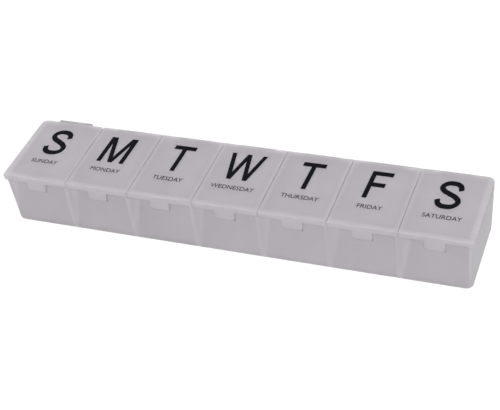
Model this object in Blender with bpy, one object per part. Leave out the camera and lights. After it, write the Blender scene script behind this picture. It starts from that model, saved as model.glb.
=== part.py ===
# A seven-day pill organizer: one drafted tray with seven cells, and seven lids.
# Each lid swings on a living hinge, a thin web folded in a U behind the tray.
# Metres, +Z up, +X along the row of cells, -Y the front where the thumb tabs are.
# The origin is under the middle of the whole object, at the level it stands on.

import math

import bmesh
import bpy
from mathutils import Matrix, Vector

# The whole box, measured over the closed lids
LENGTH = 0.1715
DEPTH = 0.0336
HEIGHT = 0.0216
DAYS = ("sunday", "monday", "tuesday", "wednesday", "thursday", "friday", "saturday")

# Tray
END_INSET = 0.00098  # from the outer end to the middle of the end wall
DIVIDER = 0.0012
FRONT_WALL = 0.0015
BACK_WALL = 0.0013
FLOOR = 0.0012
END_DRAFT = 0.00103  # each end leans in by this much from top to bottom
SIDE_DRAFT = 0.0002
CELL_DRAFT = 0.00015
FRONT_CORNER = 0.0025
BACK_CORNER = 0.0026
BOTTOM_EDGE = 0.0011
CELL_CORNER = 0.0014
CELL_FLOOR_EDGE = 0.0011

# Lids
PLATE = 0.0012
LID_GAP = 0.0005  # between neighbouring lids
SEAT_GAP = 0.0003  # lid over tray rim, and lip in front of the tray
LIP_PROUD = 0.0003  # how far the lip stands out from the tray's front
LIP_THICK = 0.0009
LIP_DROP = 0.0021
TAB_WIDTH = 0.0071
TAB_DROP = 0.0056
TAB_CORNER = 0.0008
PLUG_DROP = 0.0015
PLUG_WALL = 0.0010
PLUG_CORNER = 0.0011
TOP_EDGE = 0.00035
LID_CORNER = 0.0005
FIRST_CORNER = 0.0012  # rounder where the first two lids meet
LIP_CORNER = 0.0008  # the outer front corners of the two end lids

# Living hinge webs
WEB_WIDTH = 0.0130
WEB_THICK = 0.0003
WEB_RADIUS = 0.0009  # outside of the fold
WEB_ARM = 0.00066  # straight run between the lid's back edge and the fold
WEB_GAP = 0.0001
FIRST_WEB_DROP = 0.0  # the first web leaves its lid at the top of the plate
WEB_DROP = PLATE - WEB_THICK  # the others leave at the bottom of the plate
WEB_STEPS = 8

# Places that follow from the sizes
COUNT = len(DAYS)
PITCH = (LENGTH - 2 * END_INSET) / COUNT
WEB_REACH = WEB_ARM + WEB_RADIUS
FRONT = -(DEPTH + WEB_REACH) / 2  # outer face of the lips
BACK = FRONT + DEPTH  # back edge of the lids
RIM = HEIGHT - PLATE - SEAT_GAP  # top of the tray's walls
TRAY_FRONT = FRONT + LIP_PROUD
CELL_FRONT = TRAY_FRONT + FRONT_WALL
CELL_BACK = BACK - BACK_WALL
OVERCUT = 0.002  # how far a cutter runs past what it cuts
NEAR = 1e-6  # two heights closer than this are the same
SHARP_ANGLE = math.radians(35)

MATERIALS = {
    "tray_plastic": ((0.43, 0.40, 0.42), 0.38),
    "lid_plastic": ((0.46, 0.43, 0.45), 0.36),
    "hinge_plastic": ((0.52, 0.49, 0.51), 0.34),
}


def clear_scene():
    for item in list(bpy.data.objects):
        bpy.data.objects.remove(item, do_unlink=True)


def make_material(name):
    colour, roughness = MATERIALS[name]
    material = bpy.data.materials.new(name)
    material.use_nodes = True
    shader = material.node_tree.nodes["Principled BSDF"]
    shader.inputs["Base Color"].default_value = (*colour, 1)
    shader.inputs["Roughness"].default_value = roughness
    shader.inputs["Metallic"].default_value = 0
    return material


def line_between(index):
    # X of the middle of the wall on the left of cell number index
    return -LENGTH / 2 + END_INSET + index * PITCH


def add_object(name, bm, material=None):
    bmesh.ops.recalc_face_normals(bm, faces=bm.faces)
    mesh = bpy.data.meshes.new(name)
    bm.to_mesh(mesh)
    bm.free()
    item = bpy.data.objects.new(name, mesh)
    bpy.context.scene.collection.objects.link(item)
    if material:
        mesh.materials.append(material)
    return item


def block(low, high, lean=(0, 0, 0, 0)):
    # A box whose bottom is smaller than its top. lean is how far the left,
    # right, front and back sides come in at the bottom.
    left, right, front, back = lean
    bm = bmesh.new()
    bmesh.ops.create_cube(bm, size=1)
    for vert in bm.verts:
        bottom = vert.co.z < 0
        x = low[0] if vert.co.x < 0 else high[0]
        y = low[1] if vert.co.y < 0 else high[1]
        if bottom:
            x += left if vert.co.x < 0 else -right
            y += front if vert.co.y < 0 else -back
        vert.co = Vector((x, y, low[2] if bottom else high[2]))
    return bm


def is_upright(edge):
    run = edge.verts[0].co - edge.verts[1].co
    return abs(run.z) > abs(run.x) + abs(run.y)


def bevel(bm, edges, width, segments):
    bmesh.ops.bevel(
        bm,
        geom=edges,
        offset=width,
        offset_type="OFFSET",
        segments=segments,
        profile=0.5,
        affect="EDGES",
        clamp_overlap=False,
        material=-1,
    )


def round_uprights(bm, width, segments, side=lambda x, y: True):
    middle = sum((v.co for v in bm.verts), Vector()) / len(bm.verts)
    chosen = []
    for edge in bm.edges:
        at = (edge.verts[0].co + edge.verts[1].co) / 2 - middle
        if is_upright(edge) and side(at.x, at.y):
            chosen.append(edge)
    bevel(bm, chosen, width, segments)


def level_edges(bm, z):
    return [e for e in bm.edges if all(abs(v.co.z - z) < NEAR for v in e.verts)]


def round_level(bm, z, width, segments):
    # Rounds the loop of edges that lies at height z
    bevel(bm, level_edges(bm, z), width, segments)


def joined(meshes):
    # Several separate bmeshes in one
    whole = bmesh.new()
    for bm in meshes:
        part = bpy.data.meshes.new("part")
        bm.to_mesh(part)
        bm.free()
        whole.from_mesh(part)
        bpy.data.meshes.remove(part)
    return whole


def use_tool(item, tool, operation):
    tool.hide_render = True
    tool.display_type = "WIRE"
    modifier = item.modifiers.new(tool.name, "BOOLEAN")
    modifier.operation = operation
    modifier.solver = "EXACT"
    modifier.object = tool


def smooth(item):
    item.data.shade_smooth()
    item.data.set_sharp_from_angle(angle=SHARP_ANGLE)


def tray_body():
    lean_down = RIM / HEIGHT
    low = (-LENGTH / 2, TRAY_FRONT, 0)
    high = (LENGTH / 2, BACK, RIM)
    sides = (END_DRAFT * lean_down, END_DRAFT * lean_down, SIDE_DRAFT, SIDE_DRAFT)
    bm = block(low, high, sides)
    round_uprights(bm, FRONT_CORNER, 3, lambda x, y: y < 0)
    round_uprights(bm, BACK_CORNER, 5, lambda x, y: y > 0)
    round_level(bm, 0, BOTTOM_EDGE, 3)
    return bm


def cell_span(index):
    # X of the two side walls of a cell, at the rim
    return line_between(index) + DIVIDER / 2, line_between(index + 1) - DIVIDER / 2


def cell_cutter(index):
    left, right = cell_span(index)
    left_draft = END_DRAFT if index == 0 else CELL_DRAFT
    right_draft = END_DRAFT if index == COUNT - 1 else CELL_DRAFT
    side_draft = SIDE_DRAFT + CELL_DRAFT
    low = (left, CELL_FRONT, FLOOR)
    high = (right, CELL_BACK, RIM)
    bm = block(low, high, (left_draft, right_draft, side_draft, side_draft))
    round_uprights(bm, CELL_CORNER, 3)
    round_level(bm, FLOOR, CELL_FLOOR_EDGE, 3)
    bm.normal_update()
    top = [f for f in bm.faces if f.normal.z > 0.9 and f.calc_center_median().z > RIM / 2]
    risen = bmesh.ops.extrude_face_region(bm, geom=top)["geom"]
    bmesh.ops.delete(bm, geom=top, context="FACES_ONLY")
    up = Vector((0, 0, OVERCUT))
    bmesh.ops.translate(bm, vec=up, verts=[g for g in risen if isinstance(g, bmesh.types.BMVert)])
    return bm


def rebate_depth():
    # The lip's inner face plus its gap, measured from the outer face of the lips
    return FRONT + LIP_THICK + SEAT_GAP


def lip_rebate():
    low = (-LENGTH / 2 - OVERCUT, FRONT - OVERCUT, HEIGHT - LIP_DROP - SEAT_GAP)
    high = (LENGTH / 2 + OVERCUT, rebate_depth(), HEIGHT)
    return block(low, high)


def round_tab(bm, bottom):
    # Rounds the two lower corners of a tab, whose edges run front to back
    across = [e for e in level_edges(bm, bottom) if e.verts[0].co.y != e.verts[1].co.y]
    bevel(bm, across, TAB_CORNER, 3)


def tab_rebate(index):
    middle = (line_between(index) + line_between(index + 1)) / 2
    half = TAB_WIDTH / 2 + SEAT_GAP
    low = (middle - half, FRONT - OVERCUT, HEIGHT - TAB_DROP - SEAT_GAP)
    high = (middle + half, rebate_depth(), HEIGHT - LIP_DROP)
    bm = block(low, high)
    round_tab(bm, low[2])
    return bm


def make_tray(material):
    tray = add_object("tray", tray_body(), material)
    cells = add_object("cell_cutters", joined([cell_cutter(i) for i in range(COUNT)]))
    use_tool(tray, cells, "DIFFERENCE")
    use_tool(tray, add_object("lip_cutter", lip_rebate()), "DIFFERENCE")
    tabs = add_object("tab_cutters", joined([tab_rebate(i) for i in range(COUNT)]))
    use_tool(tray, tabs, "DIFFERENCE")
    smooth(tray)
    return tray


def lid_span(index):
    left = line_between(index) + LID_GAP / 2
    right = line_between(index + 1) - LID_GAP / 2
    if index == 0:
        left = -LENGTH / 2
    if index == COUNT - 1:
        right = LENGTH / 2
    return left, right


def corner_radius(index, side):
    # Of a back corner of a lid. side is -1 on the left and 1 on the right.
    if (index == 0 and side < 0) or (index == COUNT - 1 and side > 0):
        return BACK_CORNER
    if (index == 0 and side > 0) or (index == 1 and side < 0):
        return FIRST_CORNER
    return LID_CORNER


def end_lean(index):
    # The outer ends of the two end lids follow the tray's lean
    lean = END_DRAFT * PLATE / HEIGHT
    return lean if index == 0 else 0, lean if index == COUNT - 1 else 0


def lid_plate(index):
    left, right = lid_span(index)
    low = (left, FRONT, HEIGHT - PLATE)
    high = (right, BACK, HEIGHT)
    bm = block(low, high, (*end_lean(index), 0, 0))
    back_half = DEPTH / 4
    for side in (-1, 1):
        radius = corner_radius(index, side)
        steps = 5 if radius > LID_CORNER else 2
        round_uprights(bm, radius, steps, lambda x, y: y > back_half and x * side > 0)
    round_lip(bm, index)
    round_level(bm, HEIGHT, TOP_EDGE, 2)
    return bm


def round_lip(bm, index):
    # In front only the two ends of the whole row are rounded
    side = {0: -1, COUNT - 1: 1}.get(index)
    if side:
        round_uprights(bm, LIP_CORNER, 3, lambda x, y: y < 0 and x * side > 0)


def lid_lip(index):
    left, right = lid_span(index)
    lean_left, lean_right = (v * (LIP_DROP - TOP_EDGE) / PLATE for v in end_lean(index))
    low = (left, FRONT, HEIGHT - LIP_DROP)
    high = (right, FRONT + LIP_THICK, HEIGHT - TOP_EDGE)
    bm = block(low, high, (lean_left, lean_right, 0, 0))
    round_lip(bm, index)
    return bm


def lid_tab(index):
    middle = (line_between(index) + line_between(index + 1)) / 2
    low = (middle - TAB_WIDTH / 2, FRONT, HEIGHT - TAB_DROP)
    high = (middle + TAB_WIDTH / 2, FRONT + LIP_THICK, HEIGHT - TOP_EDGE)
    bm = block(low, high)
    round_tab(bm, low[2])
    return bm


def plug_block(index, inset, corner, low_z, high_z):
    left, right = cell_span(index)
    low = (left + inset, CELL_FRONT + inset, low_z)
    high = (right - inset, CELL_BACK - inset, high_z)
    bm = block(low, high)
    round_uprights(bm, corner, 3)
    return bm


def make_lid(index, hinge_line, material):
    name = "lid_" + DAYS[index]
    lid = add_object(name, lid_plate(index), material)
    under = HEIGHT - PLATE
    use_tool(lid, add_object(name + "_lip", lid_lip(index)), "UNION")
    use_tool(lid, add_object(name + "_tab", lid_tab(index)), "UNION")
    # The plug starts inside the end lean of the cell, clear of every wall
    clear = SEAT_GAP + CELL_DRAFT
    plug = plug_block(index, clear, PLUG_CORNER, under - PLUG_DROP, HEIGHT - PLATE / 2)
    use_tool(lid, add_object(name + "_plug", plug), "UNION")
    hollow = plug_block(index, clear + PLUG_WALL, PLUG_CORNER / 2, under - 2 * PLUG_DROP, under)
    use_tool(lid, add_object(name + "_hollow", hollow), "DIFFERENCE")
    put_origin(lid, hinge_line)
    smooth(lid)
    return lid


def web_drop(index):
    return FIRST_WEB_DROP if index == 0 else WEB_DROP


def hinge_point(index):
    # The middle of the folded web, which is the line that the lid turns about
    middle = (line_between(index) + line_between(index + 1)) / 2
    z = HEIGHT - web_drop(index) - WEB_RADIUS
    return Vector((middle, BACK + WEB_REACH - WEB_THICK / 2, z))


def put_origin(item, point):
    # Moves the object's origin to the point and leaves its shape where it is
    item.data.transform(Matrix.Translation(-point))
    item.location = point
    for modifier in item.modifiers:
        tool = modifier.object
        tool.parent = item
        tool.data.transform(Matrix.Translation(-point))


def make_web(index, hinge_line, material):
    # The end of the upper arm is swept back and round to the lower arm
    centre = hinge_line - Vector((0, WEB_RADIUS - WEB_THICK / 2, 0))
    inner = WEB_RADIUS - WEB_THICK
    x = centre.x - WEB_WIDTH / 2
    bm = bmesh.new()
    start = BACK + WEB_GAP
    ends = [(start, inner), (start, WEB_RADIUS)]
    corners = [bm.verts.new((x, y, centre.z + z)) for y, z in ends]
    bend = [bm.verts.new((x, centre.y, v.co.z)) for v in corners]
    first = bm.faces.new((corners[0], corners[1], bend[1], bend[0]))
    lead = next(e for e in first.edges if set(e.verts) == set(bend))
    turned = bmesh.ops.spin(
        bm,
        geom=[lead, *bend],
        cent=centre,
        axis=(-1, 0, 0),
        angle=math.pi,
        steps=WEB_STEPS,
        use_duplicate=False,
    )["geom_last"]
    last = [g for g in turned if isinstance(g, bmesh.types.BMEdge)]
    arm = bmesh.ops.extrude_edge_only(bm, edges=last)["geom"]
    tips = [g for g in arm if isinstance(g, bmesh.types.BMVert)]
    bmesh.ops.translate(bm, vec=(0, start - centre.y, 0), verts=tips)
    bmesh.ops.remove_doubles(bm, verts=bm.verts, dist=1e-6)
    wide = bmesh.ops.extrude_face_region(bm, geom=bm.faces[:])["geom"]
    side = [g for g in wide if isinstance(g, bmesh.types.BMVert)]
    bmesh.ops.translate(bm, vec=(WEB_WIDTH, 0, 0), verts=side)
    web = add_object("hinge_" + DAYS[index], bm, material)
    put_origin(web, hinge_line)
    smooth(web)
    return web


def main():
    clear_scene()
    tray_plastic = make_material("tray_plastic")
    lid_plastic = make_material("lid_plastic")
    hinge_plastic = make_material("hinge_plastic")
    make_tray(tray_plastic)
    for index in range(COUNT):
        hinge_line = hinge_point(index)
        make_lid(index, hinge_line, lid_plastic)
        make_web(index, hinge_line, hinge_plastic)


main()
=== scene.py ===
import math

import bmesh
import bpy
from mathutils import Matrix, Vector


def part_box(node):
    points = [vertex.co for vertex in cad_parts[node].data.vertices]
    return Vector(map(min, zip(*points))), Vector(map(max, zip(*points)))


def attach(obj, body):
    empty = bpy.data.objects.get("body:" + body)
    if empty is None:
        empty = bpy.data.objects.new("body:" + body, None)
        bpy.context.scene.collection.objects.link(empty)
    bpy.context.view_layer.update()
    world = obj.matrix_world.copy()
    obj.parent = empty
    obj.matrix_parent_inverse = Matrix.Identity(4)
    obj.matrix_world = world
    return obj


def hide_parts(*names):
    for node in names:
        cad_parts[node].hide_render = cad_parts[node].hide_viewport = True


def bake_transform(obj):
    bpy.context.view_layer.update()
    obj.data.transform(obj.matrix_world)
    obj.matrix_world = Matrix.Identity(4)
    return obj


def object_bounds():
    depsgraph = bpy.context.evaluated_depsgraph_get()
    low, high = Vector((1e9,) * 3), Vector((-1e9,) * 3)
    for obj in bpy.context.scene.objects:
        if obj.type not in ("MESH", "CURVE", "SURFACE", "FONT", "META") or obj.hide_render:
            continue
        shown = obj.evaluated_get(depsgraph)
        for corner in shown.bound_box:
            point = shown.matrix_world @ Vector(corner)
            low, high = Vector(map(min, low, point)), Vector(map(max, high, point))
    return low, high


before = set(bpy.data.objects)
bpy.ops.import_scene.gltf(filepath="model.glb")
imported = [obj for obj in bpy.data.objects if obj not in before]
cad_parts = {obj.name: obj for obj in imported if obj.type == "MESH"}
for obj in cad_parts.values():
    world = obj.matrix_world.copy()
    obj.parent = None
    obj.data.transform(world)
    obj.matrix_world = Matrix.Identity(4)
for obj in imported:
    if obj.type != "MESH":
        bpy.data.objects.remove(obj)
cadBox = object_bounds()

dayNames = ["sunday", "monday", "tuesday", "wednesday", "thursday", "friday", "saturday"]
dayCount = len(dayNames)
boxLow, boxHigh = cadBox
trayLow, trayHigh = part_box("tray")
_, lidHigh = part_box("lid_monday")
halfLength = boxHigh.x
topLevel = boxHigh.z
lipFace = boxLow.y  # outer face of the lips
lidBack = lidHigh.y
rimLevel = trayHigh.z
trayFront = trayLow.y
trayBack = trayHigh.y
endDraft = 0.00103  # each end leans in by this much over the whole height
sideDraft = 0.0002
endInset = 0.00098  # from the outer end to the middle of the end wall
lineStep = 2 * (halfLength - endInset) / dayCount


def wallLine(index):  # middle of the wall on the left of this cell
    return -halfLength + endInset + index * lineStep


def cellMiddle(index):
    return wallLine(index) + lineStep / 2


# Mesh helpers

def squareFace(bm, low, high, level):
    made = bmesh.ops.create_grid(bm, x_segments=1, y_segments=1, size=0.5)["verts"]
    size = Vector((high[0] - low[0], high[1] - low[1], 1))
    middle = Vector(((low[0] + high[0]) / 2, (low[1] + high[1]) / 2, level))
    bmesh.ops.scale(bm, vec=size, verts=made)
    bmesh.ops.translate(bm, vec=middle, verts=made)
    return made[0].link_faces[0]


def roundCorners(bm, corners, radius, segments):
    bmesh.ops.bevel(
        bm, geom=corners, offset=radius, offset_type="OFFSET", affect="VERTICES",
        segments=segments, profile=0.5, material=-1, clamp_overlap=False,
    )


def roundEdges(bm, edges, radius, segments):
    bmesh.ops.bevel(
        bm, geom=edges, offset=radius, offset_type="OFFSET", affect="EDGES",
        segments=segments, profile=0.5, material=-1, clamp_overlap=False,
    )


def sweepFace(bm, face, steps):  # each step moves the outline in and the face along its normal
    for inward, along in steps:
        bmesh.ops.inset_region(
            bm, faces=[face], thickness=inward, depth=along,
            use_boundary=True, use_even_offset=True,
        )


def quarterOut(radius, count, sign):  # from a wall over to a flat
    turns = [math.pi / 2 * k / count for k in range(count + 1)]
    return [
        (radius * (math.cos(a) - math.cos(b)), sign * radius * (math.sin(b) - math.sin(a)))
        for a, b in zip(turns, turns[1:])
    ]


def quarterIn(radius, count, sign):  # from a flat over to a wall
    turns = [math.pi / 2 * k / count for k in range(count + 1)]
    return [
        (radius * (math.sin(b) - math.sin(a)), sign * radius * (math.cos(a) - math.cos(b)))
        for a, b in zip(turns, turns[1:])
    ]


def raiseFaces(bm, faces, rise):
    made = bmesh.ops.extrude_face_region(bm, geom=faces)["geom"]
    bmesh.ops.delete(bm, geom=faces, context="FACES_ONLY")
    verts = [g for g in made if isinstance(g, bmesh.types.BMVert)]
    bmesh.ops.translate(bm, vec=(0, 0, rise), verts=verts)
    return [g for g in made if isinstance(g, bmesh.types.BMFace)]


def cutFaces(bm, faces, point, normal):
    edges = {e for f in faces for e in f.edges}
    verts = {v for f in faces for v in f.verts}
    made = bmesh.ops.bisect_plane(
        bm, geom=[*faces, *edges, *verts], dist=1e-6, plane_co=point, plane_no=normal,
    )["geom"]
    return [g for g in made if isinstance(g, bmesh.types.BMFace)]


def levelFaces(faces, low, high):  # those whose middle lies between these two points in plan
    chosen = []
    for face in faces:
        at = face.calc_center_median()
        if low[0] < at.x < high[0] and low[1] < at.y < high[1]:
            chosen.append(face)
    return chosen


def fillLevel(bm, level, up):  # closes the flat between the open outlines at this height
    edges = [
        e for e in bm.edges
        if e.is_boundary and all(abs(v.co.z - level) < 1e-6 for v in e.verts)
    ]
    bmesh.ops.triangle_fill(bm, edges=edges, use_beauty=True, normal=(0, 0, up))


def leanIn(bm):  # every wall comes in a little towards the bottom
    edge = cellMiddle(dayCount - 1) + 0.006
    for vert in bm.verts:
        share = 1 - vert.co.z / topLevel
        if abs(vert.co.x) > edge:
            vert.co.x -= math.copysign(endDraft * share, vert.co.x)
        if abs(vert.co.y) > 0.009:
            vert.co.y -= math.copysign(sideDraft * share, vert.co.y)


def newPiece(name, bm, body, material):
    bmesh.ops.recalc_face_normals(bm, faces=bm.faces)
    mesh = bpy.data.meshes.new(name)
    bm.to_mesh(mesh)
    bm.free()
    mesh.materials.append(material)
    piece = bpy.data.objects.new(name, mesh)
    bpy.context.scene.collection.objects.link(piece)
    if body:
        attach(piece, body)
    return piece


def softenEdges(piece, width, segments):
    bevel = piece.modifiers.new("softEdges", "BEVEL")
    bevel.width = width
    bevel.segments = segments
    bevel.limit_method = "ANGLE"
    bevel.angle_limit = math.radians(40)
    bevel.use_clamp_overlap = False
    piece.data.shade_smooth()
    flat = piece.modifiers.new("flatFaces", "WEIGHTED_NORMAL")
    flat.keep_sharp = False


# Materials

def addNode(tree, kind, place, **values):
    node = tree.nodes.new(kind)
    node.location = place
    for key, value in values.items():
        setattr(node, key, value)
    return node


def makeMouldGrain():  # haze, flow clouds and the fine tooth that a mould leaves
    group = bpy.data.node_groups.new("mouldGrain", "ShaderNodeTree")
    face = group.interface
    for name, value in [("Cloud Scale", 90.0), ("Tooth Scale", 2600.0), ("Tooth Depth", 0.5)]:
        socket = face.new_socket(name, in_out="INPUT", socket_type="NodeSocketFloat")
        socket.default_value = value
    for name in ("Cloud", "Tooth", "Height"):
        face.new_socket(name, in_out="OUTPUT", socket_type="NodeSocketFloat")
    entry = addNode(group, "NodeGroupInput", (-900, 0))
    leave = addNode(group, "NodeGroupOutput", (500, 0))
    place = addNode(group, "ShaderNodeTexCoord", (-900, -250))
    cloud = addNode(group, "ShaderNodeTexNoise", (-600, 200))
    cloud.inputs["Detail"].default_value = 4
    cloud.inputs["Roughness"].default_value = 0.55
    tooth = addNode(group, "ShaderNodeTexNoise", (-600, -150))
    tooth.inputs["Detail"].default_value = 2
    flow = addNode(group, "ShaderNodeMath", (-100, -200), operation="MULTIPLY")
    total = addNode(group, "ShaderNodeMath", (200, -100), operation="ADD")
    link = group.links.new
    link(place.outputs["Object"], cloud.inputs["Vector"])
    link(place.outputs["Object"], tooth.inputs["Vector"])
    link(entry.outputs["Cloud Scale"], cloud.inputs["Scale"])
    link(entry.outputs["Tooth Scale"], tooth.inputs["Scale"])
    link(tooth.outputs["Fac"], flow.inputs[0])
    link(entry.outputs["Tooth Depth"], flow.inputs[1])
    link(cloud.outputs["Fac"], total.inputs[0])
    link(flow.outputs["Value"], total.inputs[1])
    link(cloud.outputs["Fac"], leave.inputs["Cloud"])
    link(tooth.outputs["Fac"], leave.inputs["Tooth"])
    link(total.outputs["Value"], leave.inputs["Height"])
    return group


# painted light: a lighter wedge to the right of each divider on the tray front, widening upwards,
# stands in for light seen through the wall
paintedWedgeShape = {
    "lean": 0.2,  # how far the painted wedge of light widens for each metre of height
    "fade": 0.0012,
    "faceDepth": 0.0012,  # the painted light wedge is only on the front face
}


def makeDensityAndPaintedLight(shape):  # where walls and rings behind the face make the plastic denser; the lighter colour there is partly that density and partly painted light seen through the translucent plastic
    group = bpy.data.node_groups.new("thickness", "ShaderNodeTree")
    face = group.interface
    for name, value in [("Wall Reach", 0.0008), ("Front Reach", 0.0), ("Back Reach", 0.0),
                        ("Fade", 0.0005), ("Painted Wedge", 0.0)]:
        socket = face.new_socket(name, in_out="INPUT", socket_type="NodeSocketFloat")
        socket.default_value = value
    face.new_socket("Mask", in_out="OUTPUT", socket_type="NodeSocketFloat")
    entry = addNode(group, "NodeGroupInput", (-1300, 0))
    leave = addNode(group, "NodeGroupOutput", (900, 0))
    place = addNode(group, "ShaderNodeTexCoord", (-1300, -250))
    split = addNode(group, "ShaderNodeSeparateXYZ", (-1100, -250))
    link = group.links.new
    link(place.outputs["Object"], split.inputs["Vector"])

    def step(kind, at, *values):
        node = addNode(group, "ShaderNodeMath", at, operation=kind)
        for socket, value in zip(node.inputs, values):
            if isinstance(value, float):
                socket.default_value = value
            else:
                link(value, socket)
        return node.outputs["Value"]

    start = halfLength - endInset
    along = step("ADD", (-900, 0), split.outputs["X"], start)
    apart = step("PINGPONG", (-700, 0), along, lineStep / 2)
    front = step("SUBTRACT", (-900, -200), split.outputs["Y"], lipFace)
    back = step("SUBTRACT", (-900, -400), lidBack, split.outputs["Y"])
    parts = []
    reaches = [(apart, "Wall Reach"), (front, "Front Reach"), (back, "Back Reach")]
    for row, (distance, reach) in enumerate(reaches):
        left = step("SUBTRACT", (-500, -200 * row), distance, entry.outputs[reach])
        share = step("DIVIDE", (-300, -200 * row), left, entry.outputs["Fade"])
        ramp = addNode(group, "ShaderNodeMapRange", (-100, -200 * row), interpolation_type="SMOOTHSTEP")
        ramp.inputs["To Min"].default_value = 1
        ramp.inputs["To Max"].default_value = 0
        link(share, ramp.inputs["Value"])
        parts.append(ramp.outputs["Result"])
    # painted light wedge: lighter to the right of each wall line, wider with height, only on the front
    # face
    past = step("MODULO", (-700, 300), along, lineStep)
    wide = step("MULTIPLY", (-700, 500), split.outputs["Z"], shape["lean"])
    paintedWedge = addNode(group, "ShaderNodeMapRange", (-300, 400), interpolation_type="SMOOTHSTEP")
    paintedWedge.inputs["From Max"].default_value = shape["fade"]
    paintedWedge.inputs["To Min"].default_value = 1
    paintedWedge.inputs["To Max"].default_value = 0
    link(step("SUBTRACT", (-500, 400), past, wide), paintedWedge.inputs["Value"])
    outer = step("LESS_THAN", (-500, 600), front, shape["faceDepth"])
    faint = step("MULTIPLY", (-100, 400), paintedWedge.outputs["Result"], entry.outputs["Painted Wedge"])
    parts.append(step("MULTIPLY", (100, 500), faint, outer))
    both = step("MAXIMUM", (200, -200), parts[1], parts[2])
    near = step("MAXIMUM", (350, 200), parts[0], parts[3])
    link(step("MAXIMUM", (600, 0), near, both), leave.inputs["Mask"])
    return group


def makePlastic(name, look, grain, thickness):
    material = bpy.data.materials.new(name)
    material.use_nodes = True
    tree = material.node_tree
    shader = tree.nodes["Principled BSDF"]
    shader.inputs["IOR"].default_value = 1.49
    shader.inputs["Transmission Weight"].default_value = look["clear"]
    shader.inputs["Subsurface Weight"].default_value = look["milk"]
    shader.inputs["Subsurface Scale"].default_value = look["depth"]
    shader.inputs["Subsurface Radius"].default_value = (1.0, 0.95, 0.98)
    group = addNode(tree, "ShaderNodeGroup", (-800, 0), node_tree=grain)
    group.inputs["Cloud Scale"].default_value = look["cloudScale"]
    group.inputs["Tooth Scale"].default_value = look["toothScale"]
    group.inputs["Tooth Depth"].default_value = look["toothDepth"]
    tone = addNode(tree, "ShaderNodeMix", (-450, 200), data_type="RGBA")
    tone.inputs["A"].default_value = (*look["dense"], 1)
    tone.inputs["B"].default_value = (*look["thin"], 1)
    # painted light: this mask lays a paler colour over walls, lips and back edges and the painted
    # wedge, partly also for denser plastic
    densityLightMask = addNode(tree, "ShaderNodeGroup", (-800, 400), node_tree=thickness)
    densityLightMask.inputs["Wall Reach"].default_value = look["wallReach"]
    densityLightMask.inputs["Front Reach"].default_value = look["frontReach"]
    densityLightMask.inputs["Back Reach"].default_value = look["backReach"]
    densityLightMask.inputs["Fade"].default_value = look["fade"]
    densityLightMask.inputs["Painted Wedge"].default_value = look["paintedWedge"]
    # mixes in the pale colour: partly denser plastic, partly painted light
    densityLightMix = addNode(tree, "ShaderNodeMix", (-200, 300), data_type="RGBA")
    densityLightMix.inputs["B"].default_value = (*look["thick"], 1)
    haze = addNode(tree, "ShaderNodeMapRange", (-450, -50))
    haze.inputs["To Min"].default_value = look["roughness"] - 0.05
    haze.inputs["To Max"].default_value = look["roughness"] + 0.05
    bump = addNode(tree, "ShaderNodeBump", (-450, -350))
    bump.inputs["Strength"].default_value = look["bump"]
    bump.inputs["Distance"].default_value = 0.0001
    link = tree.links.new
    link(group.outputs["Cloud"], tone.inputs["Factor"])
    link(group.outputs["Tooth"], haze.inputs["Value"])
    link(group.outputs["Height"], bump.inputs["Height"])
    link(tone.outputs["Result"], densityLightMix.inputs["A"])
    link(densityLightMask.outputs["Mask"], densityLightMix.inputs["Factor"])
    link(densityLightMix.outputs["Result"], shader.inputs["Base Color"])
    link(haze.outputs["Result"], shader.inputs["Roughness"])
    link(bump.outputs["Normal"], shader.inputs["Normal"])
    return material


trayLook = {
    "dense": (0.75, 0.717, 0.757),
    "thin": (0.87, 0.833, 0.877),
    # thick is the pale colour for denser plastic and painted light; the wedge strength sets the painted
    # light wedge on the tray front
    "thick": (0.965, 0.917, 0.975),
    "paintedWedge": 0.7,
    "fade": 0.0006,
    "wallReach": 0.0007,
    "frontReach": -0.01,
    "backReach": -0.01,
    "clear": 0.55,
    "milk": 0.6,
    "depth": 0.0015,
    "roughness": 0.32,
    "cloudScale": 90.0,
    "toothScale": 2600.0,
    "toothDepth": 0.5,
    "bump": 0.15,
}
lidLook = {
    **trayLook,
    # on the lids the pale colour over lip, back edge and walls is partly denser plastic and partly
    # painted light
    "thick": (0.935, 0.888, 0.945),
    "paintedWedge": 0.0,
    "wallReach": 0.0004,
    "frontReach": 0.0010,
    "backReach": 0.0004,
    "fade": 0.0016,
    "roughness": 0.36,
}
# the webs keep the painted lighter bands at the wall lines but no painted wedge
webLook = {**trayLook, "paintedWedge": 0.0, "cloudScale": 400.0}

inkLook = {
    "dark": (0.003, 0.003, 0.004),
    "worn": (0.010, 0.010, 0.012),
    "roughness": 0.5,
    "gloss": 0.03,
    "scale": 1800.0,
}


def makeInk(name, look):
    material = bpy.data.materials.new(name)
    material.use_nodes = True
    tree = material.node_tree
    shader = tree.nodes["Principled BSDF"]
    shader.inputs["Specular IOR Level"].default_value = look["gloss"]
    place = addNode(tree, "ShaderNodeTexCoord", (-1000, 0))
    speck = addNode(tree, "ShaderNodeTexNoise", (-750, 0))
    speck.inputs["Scale"].default_value = look["scale"]
    tone = addNode(tree, "ShaderNodeMix", (-450, 150), data_type="RGBA")
    tone.inputs["A"].default_value = (*look["dark"], 1)
    tone.inputs["B"].default_value = (*look["worn"], 1)
    haze = addNode(tree, "ShaderNodeMapRange", (-450, -100))
    haze.inputs["To Min"].default_value = look["roughness"] - 0.08
    haze.inputs["To Max"].default_value = look["roughness"] + 0.08
    link = tree.links.new
    link(place.outputs["Object"], speck.inputs["Vector"])
    link(speck.outputs["Fac"], tone.inputs["Factor"])
    link(speck.outputs["Fac"], haze.inputs["Value"])
    link(tone.outputs["Result"], shader.inputs["Base Color"])
    link(haze.outputs["Result"], shader.inputs["Roughness"])
    return material


mouldGrain = makeMouldGrain()
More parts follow.
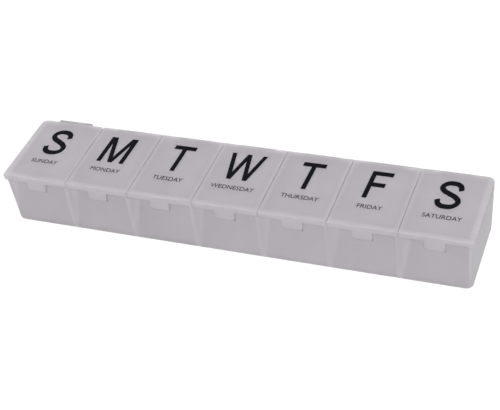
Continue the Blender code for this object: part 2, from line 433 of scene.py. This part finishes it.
# the thickness group holds the denser-plastic colour and painted light for every plastic
thickness = makeDensityAndPaintedLight(paintedWedgeShape)
trayPlastic = makePlastic("trayPlastic", trayLook, mouldGrain, thickness)
lidPlastic = makePlastic("lidPlastic", lidLook, mouldGrain, thickness)
webPlastic = makePlastic("webPlastic", webLook, mouldGrain, thickness)
printInk = makeInk("printInk", inkLook)
print("materials ready")


# Tray: one moulded trough with seven cells

trayShape = {
    "frontCorner": 0.0025,
    "backCorner": 0.0026,
    "bottomEdge": 0.0011,
    "frontWall": 0.0015,
    "backWall": 0.0013,
    "divider": 0.0012,
    "floor": 0.0012,
    "cellCorner": 0.0014,
    "cellFloorEdge": 0.0011,
    "cellDraft": 0.00015,
    "rimEdge": 0.00016,
    "rebateBack": 0.0012,  # behind the lips' outer face
    "rebateLevel": 0.0192,
    "notchLevel": 0.0157,
    "notchWidth": 0.00714,
    "softEdge": 0.00012,
}


def cellSpan(index, shape):
    return wallLine(index) + shape["divider"] / 2, wallLine(index + 1) - shape["divider"] / 2


def addCell(bm, index, shape):
    edge = shape["rimEdge"]
    left, right = cellSpan(index, shape)
    low = (left - edge, trayFront + shape["frontWall"] - edge)
    high = (right + edge, trayBack - shape["backWall"] + edge)
    known = set(bm.faces)
    face = squareFace(bm, low, high, rimLevel)
    roundCorners(bm, face.verts[:], shape["cellCorner"] + edge, 5)
    face = next(f for f in bm.faces if f not in known)
    wallDrop = rimLevel - shape["floor"] - edge - shape["cellFloorEdge"]
    sweepFace(bm, face, quarterIn(edge, 4, -1))
    sweepFace(bm, face, [(shape["cellDraft"], -wallDrop)])
    sweepFace(bm, face, quarterOut(shape["cellFloorEdge"], 5, -1))


def makeTray(shape):
    bm = bmesh.new()
    low = (-halfLength, trayFront)
    high = (halfLength, trayBack)
    face = squareFace(bm, low, high, shape["bottomEdge"])
    back = [v for v in face.verts if v.co.y > 0]
    front = [v for v in face.verts if v.co.y < 0]
    roundCorners(bm, back, shape["backCorner"], 7)
    roundCorners(bm, front, shape["frontCorner"], 7)
    base = bm.faces[:]
    made = bmesh.ops.extrude_face_region(bm, geom=base)["geom"]
    verts = [g for g in made if isinstance(g, bmesh.types.BMVert)]
    top = [g for g in made if isinstance(g, bmesh.types.BMFace)]
    rise = shape["notchLevel"] - shape["bottomEdge"]
    bmesh.ops.translate(bm, vec=(0, 0, rise), verts=verts)
    bmesh.ops.recalc_face_normals(bm, faces=bm.faces)
    sweepFace(bm, base[0], quarterOut(shape["bottomEdge"], 5, 1))
    rebate = lipFace + shape["rebateBack"]
    top = cutFaces(bm, top, (0, rebate, 0), (0, 1, 0))
    strip = levelFaces(top, (-1, -1), (1, rebate))
    half = shape["notchWidth"] / 2
    for index in range(dayCount):
        for side in (-half, half):
            strip = cutFaces(bm, strip, (cellMiddle(index) + side, 0, 0), (1, 0, 0))
    notches = []
    for index in range(dayCount):
        x = cellMiddle(index)
        notches += levelFaces(strip, (x - half, -1), (x + half, 1))
    main = [f for f in bm.faces if f.normal.z > 0.9 and f.calc_center_median().y > rebate]
    kept = [f for f in strip if f not in notches]
    raised = raiseFaces(bm, kept + main, shape["rebateLevel"] - shape["notchLevel"])
    main = [f for f in raised if f.calc_center_median().y > rebate]
    main = raiseFaces(bm, main, rimLevel - shape["rebateLevel"])
    bmesh.ops.delete(bm, geom=main, context="FACES_ONLY")
    for index in range(dayCount):
        addCell(bm, index, shape)
    fillLevel(bm, rimLevel, 1)
    leanIn(bm)
    piece = newPiece("tray_shell", bm, "tray", trayPlastic)
    softenEdges(piece, shape["softEdge"], 2)
    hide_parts("tray")
    return piece


makeTray(trayShape)
print("tray ready")


# Lids: a plate with a lip and a thumb tab in front, and a plug ring underneath

lidShape = {
    "plate": 0.0012,
    "gap": 0.0001,
    "lipThick": 0.0009,
    "lipDrop": 0.0021,
    "tabWidth": 0.0071,
    "tabDrop": 0.0056,
    "tabCorner": 0.0008,
    "topEdge": 0.00022,
    "outerCorner": 0.0026,
    "firstCorner": 0.0012,
    "lipCorner": 0.0008,  # in front, at the two ends of the row
    "corner": 0.00045,
    "plugClear": 0.00045,
    "plugCorner": 0.0015,
    "plugWall": 0.0010,
    "plugDrop": 0.0015,
    "plugEdge": 0.00025,
    "printRoom": 0.00002,  # the ink stands this high, inside the whole height
    "softEdge": 0.00012,
}


def lidSpan(index, shape):
    left = -halfLength if index == 0 else wallLine(index) + shape["gap"] / 2
    right = halfLength if index == dayCount - 1 else wallLine(index + 1) - shape["gap"] / 2
    return left, right


def backCorners(index, shape):
    left = right = shape["corner"]
    if index == 0:
        left, right = shape["outerCorner"], shape["firstCorner"]
    if index == 1:
        left = shape["firstCorner"]
    if index == dayCount - 1:
        right = shape["outerCorner"]
    return left, right


def addPlug(bm, index, shape, level):
    left, right = cellSpan(index, trayShape)
    clear = shape["plugClear"]
    edge = shape["plugEdge"]
    low = (left + clear, trayFront + trayShape["frontWall"] + clear)
    high = (right - clear, trayBack - trayShape["backWall"] - clear)
    known = set(bm.faces)
    face = squareFace(bm, low, high, level)
    roundCorners(bm, face.verts[:], shape["plugCorner"], 5)
    face = next(f for f in bm.faces if f not in known)
    if face.normal.z > 0:
        face.normal_flip()
    wallDrop = shape["plugDrop"] - edge
    sweepFace(bm, face, [(0, wallDrop)])
    sweepFace(bm, face, quarterOut(edge, 4, 1))
    sweepFace(bm, face, [(shape["plugWall"] - 2 * edge, 0)])
    sweepFace(bm, face, quarterIn(edge, 4, -1))
    sweepFace(bm, face, [(0, -wallDrop)])


def makeLid(index, shape):
    under = topLevel - shape["plate"]
    left, right = lidSpan(index, shape)
    bm = bmesh.new()
    face = squareFace(bm, (left, lipFace), (right, lidBack), under)
    backLeft = [v for v in face.verts if v.co.y > 0 and v.co.x < (left + right) / 2]
    backRight = [v for v in face.verts if v.co.y > 0 and v.co.x > (left + right) / 2]
    leftRadius, rightRadius = backCorners(index, shape)
    roundCorners(bm, backLeft, leftRadius, 7)
    roundCorners(bm, backRight, rightRadius, 7)
    ends = [v for v in bm.verts if v.co.y < 0 and abs(v.co.x) > halfLength - 0.00001]
    if ends:
        roundCorners(bm, ends, shape["lipCorner"], 5)
    base = bm.faces[:]
    made = bmesh.ops.extrude_face_region(bm, geom=base)["geom"]
    verts = [g for g in made if isinstance(g, bmesh.types.BMVert)]
    top = [g for g in made if isinstance(g, bmesh.types.BMFace)]
    rise = shape["plate"] - shape["topEdge"] - shape["printRoom"]
    bmesh.ops.translate(bm, vec=(0, 0, rise), verts=verts)
    bmesh.ops.recalc_face_normals(bm, faces=bm.faces)
    sweepFace(bm, top[0], quarterOut(shape["topEdge"], 5, 1))
    lipBack = lipFace + shape["lipThick"]
    base = cutFaces(bm, base, (0, lipBack, 0), (0, 1, 0))
    strip = levelFaces(base, (-1, -1), (1, lipBack))
    strip = raiseFaces(bm, strip, -(shape["lipDrop"] - shape["plate"]))
    half = shape["tabWidth"] / 2
    for side in (-half, half):
        strip = cutFaces(bm, strip, (cellMiddle(index) + side, 0, 0), (1, 0, 0))
    tab = levelFaces(strip, (cellMiddle(index) - half, -1), (cellMiddle(index) + half, 1))
    raiseFaces(bm, tab, -(shape["tabDrop"] - shape["lipDrop"]))
    tip = topLevel - shape["tabDrop"]
    across = [
        e for e in bm.edges
        if all(abs(v.co.z - tip) < 1e-6 for v in e.verts)
        and abs(e.verts[0].co.y - e.verts[1].co.y) > 1e-4
    ]
    roundEdges(bm, across, shape["tabCorner"], 5)
    hole = [
        f for f in bm.faces
        if f.normal.z < -0.9 and abs(f.calc_center_median().z - under) < 1e-6
    ]
    bmesh.ops.delete(bm, geom=hole, context="FACES_ONLY")
    addPlug(bm, index, shape, under)
    fillLevel(bm, under, -1)
    leanEnds(bm)
    piece = newPiece("lid_" + dayNames[index] + "_shell", bm, dayNames[index], lidPlastic)
    softenEdges(piece, shape["softEdge"], 2)
    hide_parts("lid_" + dayNames[index])
    return piece


def leanEnds(bm):  # only the outer ends of the two end lids lean
    edge = cellMiddle(dayCount - 1) + 0.0118
    for vert in bm.verts:
        if abs(vert.co.x) > edge:
            share = 1 - vert.co.z / topLevel
            vert.co.x -= math.copysign(endDraft * share, vert.co.x)


for index in range(dayCount):
    makeLid(index, lidShape)
print("lids ready")


# Living hinges: thin webs folded in a U behind the tray

webShape = {
    "width": 0.0130,
    "thick": 0.0003,
    "radius": 0.0009,
    "root": 0.00015,  # how far each end runs into its neighbour
    "steps": 24,
}


def makeWeb(index, shape):
    day = dayNames[index]
    low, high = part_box("hinge_" + day)
    middle = Vector(((low.x + high.x) / 2, high.y - shape["radius"], (low.z + high.z) / 2))
    start = lidBack - shape["root"]
    bm = bmesh.new()
    x = middle.x - shape["width"] / 2
    inner = shape["radius"] - shape["thick"]
    arm = [bm.verts.new((x, start, middle.z + r)) for r in (inner, shape["radius"])]
    bend = [bm.verts.new((x, middle.y, v.co.z)) for v in arm]
    first = bm.faces.new((arm[0], arm[1], bend[1], bend[0]))
    lead = next(e for e in first.edges if set(e.verts) == set(bend))
    turned = bmesh.ops.spin(
        bm, geom=[lead, *bend], cent=middle, axis=(-1, 0, 0), angle=math.pi,
        steps=shape["steps"], use_duplicate=False,
    )["geom_last"]
    last = [g for g in turned if isinstance(g, bmesh.types.BMEdge)]
    made = bmesh.ops.extrude_edge_only(bm, edges=last)["geom"]
    tips = [g for g in made if isinstance(g, bmesh.types.BMVert)]
    bmesh.ops.translate(bm, vec=(0, start - middle.y, 0), verts=tips)
    bmesh.ops.remove_doubles(bm, verts=bm.verts, dist=1e-6)
    wide = bmesh.ops.extrude_face_region(bm, geom=bm.faces[:])["geom"]
    side = [g for g in wide if isinstance(g, bmesh.types.BMVert)]
    bmesh.ops.translate(bm, vec=(shape["width"], 0, 0), verts=side)
    web = newPiece("web_" + day, bm, None, webPlastic)
    web.data.shade_smooth()
    web.data.set_sharp_from_angle(angle=math.radians(40))
    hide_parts("hinge_" + day)
    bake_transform(web)
    return web


for index in range(dayCount):
    makeWeb(index, webShape)
print("hinges ready")


# Ink: a large initial and the day's name on each lid

printShape = {
    "capHeight": 0.01425,
    "stroke": 0.00215,
    "curvedStroke": 0.0023,
    "narrow": 0.78,  # the initials are drawn wide and then narrowed
    "lean": 0.03,
    "baseLine": -0.00298,
    "nameSize": 0.00285,
    "nameLine": -0.00821,
    "nameWidth": 0.92,  # share of the font's own width
    "shift": -0.0012,  # the row of markings starts left of the first cell's middle
    "spread": 0.0002,  # and gains this much on each further lid
    "thick": 0.00006,
}


def letterOutline(letter, shape):
    high = shape["capHeight"]
    bar = shape["stroke"]
    if letter == "T":
        w = 0.0107
        return [
            (-w / 2, high), (w / 2, high), (w / 2, high - bar), (bar / 2, high - bar),
            (bar / 2, 0), (-bar / 2, 0), (-bar / 2, high - bar), (-w / 2, high - bar),
        ]
    if letter == "F":
        w = 0.0097
        arm = 0.0079
        mid = 0.0072
        left = -w / 2
        return [
            (left, 0), (left, high), (w / 2, high), (w / 2, high - bar),
            (left + bar, high - bar), (left + bar, mid + bar / 2), (left + arm, mid + bar / 2),
            (left + arm, mid - bar / 2), (left + bar, mid - bar / 2), (left + bar, 0),
        ]
    if letter == "M":
        w = 0.0135
        slope = 0.33
        foot = 0.0011
        thick = bar
        crotch = (thick - foot) / slope
        inner = (w / 2 - foot - bar) / slope
        shoulder = w / 2 - foot + thick - slope * high
        return [
            (-w / 2, 0), (-w / 2, high), (shoulder - w / 2, high), (0, crotch),
            (w / 2 - shoulder, high), (w / 2, high), (w / 2, 0), (w / 2 - bar, 0),
            (w / 2 - bar, inner), (foot, 0), (-foot, 0), (bar - w / 2, inner), (bar - w / 2, 0),
        ]
    w = 0.0170
    thick = bar * 0.95
    slope = (w - thick) / 4 / high
    run = slope * high
    return [
        (-w / 2, high), (-w / 2 + thick, high), (-w / 2 + run + thick / 2, thick / slope / 2),
        (-thick / 2, high), (thick / 2, high), (w / 2 - run - thick / 2, thick / slope / 2),
        (w / 2 - thick, high), (w / 2, high), (w / 2 - run, 0), (w / 2 - run - thick, 0),
        (0, high - thick / slope / 2), (-w / 2 + run + thick, 0), (-w / 2 + run, 0),
    ]


def outlineMesh(letter, shape):
    bm = bmesh.new()
    face = bm.faces.new([bm.verts.new((x, y, 0)) for x, y in letterOutline(letter, shape)])
    made = bmesh.ops.extrude_face_region(bm, geom=[face])["geom"]
    verts = [g for g in made if isinstance(g, bmesh.types.BMVert)]
    bmesh.ops.translate(bm, vec=(0, 0, shape["thick"]), verts=verts)
    return bm


def curvedMesh(shape):  # the S is a ribbon along one smooth line
    line = bpy.data.curves.new("sLine", "CURVE")
    line.dimensions = "2D"
    spline = line.splines.new("BEZIER")
    points = [
        (4.35, 9.8), (3.4, 12.05), (0.1, 13.15), (-3.0, 12.3), (-4.0, 10.6), (-3.0, 9.05),
        (0.0, 7.55), (3.15, 5.95), (4.55, 4.05), (3.3, 1.9), (0.1, 1.05), (-3.3, 1.95), (-4.4, 4.3),
    ]
    spline.bezier_points.add(len(points) - 1)
    for point, (x, y) in zip(spline.bezier_points, points):
        point.co = (x / 1000, y / 1000, 0)
        point.handle_left_type = point.handle_right_type = "AUTO"
    line.resolution_u = 12
    holder = bpy.data.objects.new("sLine", line)
    bpy.context.scene.collection.objects.link(holder)
    bpy.context.view_layer.update()
    mesh = bpy.data.meshes.new_from_object(
        holder.evaluated_get(bpy.context.evaluated_depsgraph_get()))
    bpy.data.objects.remove(holder)
    middle = [v.co.copy() for v in mesh.vertices]
    bpy.data.meshes.remove(mesh)
    bm = bmesh.new()
    pairs = []
    for k, at in enumerate(middle):
        ahead = middle[min(k + 1, len(middle) - 1)] - middle[max(k - 1, 0)]
        side = Vector((-ahead.y, ahead.x, 0)).normalized() * shape["curvedStroke"] / 2
        pairs.append([bm.verts.new(at + side), bm.verts.new(at - side)])
    for (a, b), (c, d) in zip(pairs, pairs[1:]):
        bm.faces.new((a, b, d, c))
    made = bmesh.ops.extrude_face_region(bm, geom=bm.faces[:])["geom"]
    verts = [g for g in made if isinstance(g, bmesh.types.BMVert)]
    bmesh.ops.translate(bm, vec=(0, 0, shape["thick"]), verts=verts)
    return bm


def nameMesh(word, shape):
    text = bpy.data.curves.new("dayName", "FONT")
    text.body = word
    text.size = shape["nameSize"]
    text.align_x = "CENTER"
    text.extrude = shape["thick"] / 2
    holder = bpy.data.objects.new("dayName", text)
    bpy.context.scene.collection.objects.link(holder)
    bpy.context.view_layer.update()
    mesh = bpy.data.meshes.new_from_object(
        holder.evaluated_get(bpy.context.evaluated_depsgraph_get()))
    bpy.data.objects.remove(holder)
    bm = bmesh.new()
    bm.from_mesh(mesh)
    bpy.data.meshes.remove(mesh)
    bmesh.ops.scale(bm, vec=(shape["nameWidth"], 1, 1), verts=bm.verts)
    bmesh.ops.translate(bm, vec=(0, 0, shape["thick"] / 2), verts=bm.verts)
    return bm


def makePrint(index, shape):
    day = dayNames[index]
    letter = day[0].upper()
    middle = cellMiddle(index) + shape["shift"] + index * shape["spread"]
    level = topLevel - shape["thick"]
    big = curvedMesh(shape) if letter == "S" else outlineMesh(letter, shape)
    bmesh.ops.scale(big, vec=(shape["narrow"], 1, 1), verts=big.verts)
    for vert in big.verts:
        vert.co.x += shape["lean"] * (vert.co.y - shape["capHeight"] / 2)
    place = Vector((middle, shape["baseLine"], level))
    bmesh.ops.translate(big, vec=place, verts=big.verts)
    small = nameMesh(day.upper(), shape)
    place = Vector((middle, shape["nameLine"], level))
    bmesh.ops.translate(small, vec=place, verts=small.verts)
    part = bpy.data.meshes.new("part")
    small.to_mesh(part)
    small.free()
    big.from_mesh(part)
    bpy.data.meshes.remove(part)
    piece = newPiece("print_" + day, big, day, printInk)
    return piece


for index in range(dayCount):
    makePrint(index, printShape)
print("prints ready")


# Floor, light and camera

stageShape = {"size": 6.0, "shown": 1.05, "paper": 0.64, "sky": 0.85}


def glowFor(tree, kind, shown, lit, output):  # bright for the lens, softer for the object
    path = addNode(tree, "ShaderNodeLightPath", (-500, 0))
    power = addNode(tree, "ShaderNodeMapRange", (-250, 0))
    power.inputs["To Min"].default_value = lit
    power.inputs["To Max"].default_value = shown
    glow = addNode(tree, kind, (0, 0))
    glow.inputs["Color"].default_value = (1, 1, 1, 1)
    link = tree.links.new
    link(path.outputs["Is Camera Ray"], power.inputs["Value"])
    link(power.outputs["Result"], glow.inputs["Strength"])
    link(glow.outputs[0], output.inputs["Surface"])


def makeStage(shape):
    bm = bmesh.new()
    squareFace(bm, (-shape["size"] / 2,) * 2, (shape["size"] / 2,) * 2, -0.00002)
    material = bpy.data.materials.new("paleFloor")
    material.use_nodes = True
    tree = material.node_tree
    tree.nodes.remove(tree.nodes["Principled BSDF"])
    glowFor(tree, "ShaderNodeEmission", shape["shown"], shape["paper"], tree.nodes["Material Output"])
    mesh = bpy.data.meshes.new("floor")
    bm.to_mesh(mesh)
    bm.free()
    mesh.materials.append(material)
    floor = bpy.data.objects.new("floor", mesh)
    bpy.context.scene.collection.objects.link(floor)
    world = bpy.data.worlds.new("softRoom")
    world.use_nodes = True
    tree = world.node_tree
    tree.nodes.remove(tree.nodes["Background"])
    glowFor(tree, "ShaderNodeBackground", shape["shown"], shape["sky"], tree.nodes["World Output"])
    bpy.context.scene.world = world


def makeLamp(name, place, size, power, target):
    lamp = bpy.data.lights.new(name, "AREA")
    lamp.shape = "DISK"
    lamp.size = size
    lamp.energy = power
    holder = bpy.data.objects.new(name, lamp)
    holder.location = place
    holder.rotation_euler = (Vector(target) - Vector(place)).to_track_quat("-Z", "Y").to_euler()
    bpy.context.scene.collection.objects.link(holder)


def makeCamera():
    centre = Vector((0, (lipFace + lidBack) / 2, topLevel / 2))
    turn, tilt = math.radians(25.63), math.radians(39.70)
    roll = math.radians(-8.867)
    back = Vector((
        math.sin(turn) * math.cos(tilt), -math.cos(turn) * math.cos(tilt), math.sin(tilt)))
    lens = bpy.data.cameras.new("camera")
    lens.sensor_width = 36
    lens.lens = 90.86
    lens.clip_start = 0.01
    lens.clip_end = 50
    camera = bpy.data.objects.new("camera", lens)
    bpy.context.scene.collection.objects.link(camera)
    turnUp = (
        Matrix.Rotation(turn, 4, "Z") @ Matrix.Rotation(math.pi / 2 - tilt, 4, "X")
        @ Matrix.Rotation(roll, 4, "Z") @ Matrix.Rotation(math.radians(-0.2825), 4, "Y")
        @ Matrix.Rotation(math.radians(-0.2405), 4, "X")
    )
    camera.matrix_world = Matrix.Translation(centre + back * 0.4455) @ turnUp
    bpy.context.scene.camera = camera


makeStage(stageShape)
makeLamp("window", (0.15, -0.7, 0.55), 0.7, 1.8, (0, 0, 0))
makeCamera()
bpy.context.scene.view_settings.view_transform = "Standard"
print("stage ready")
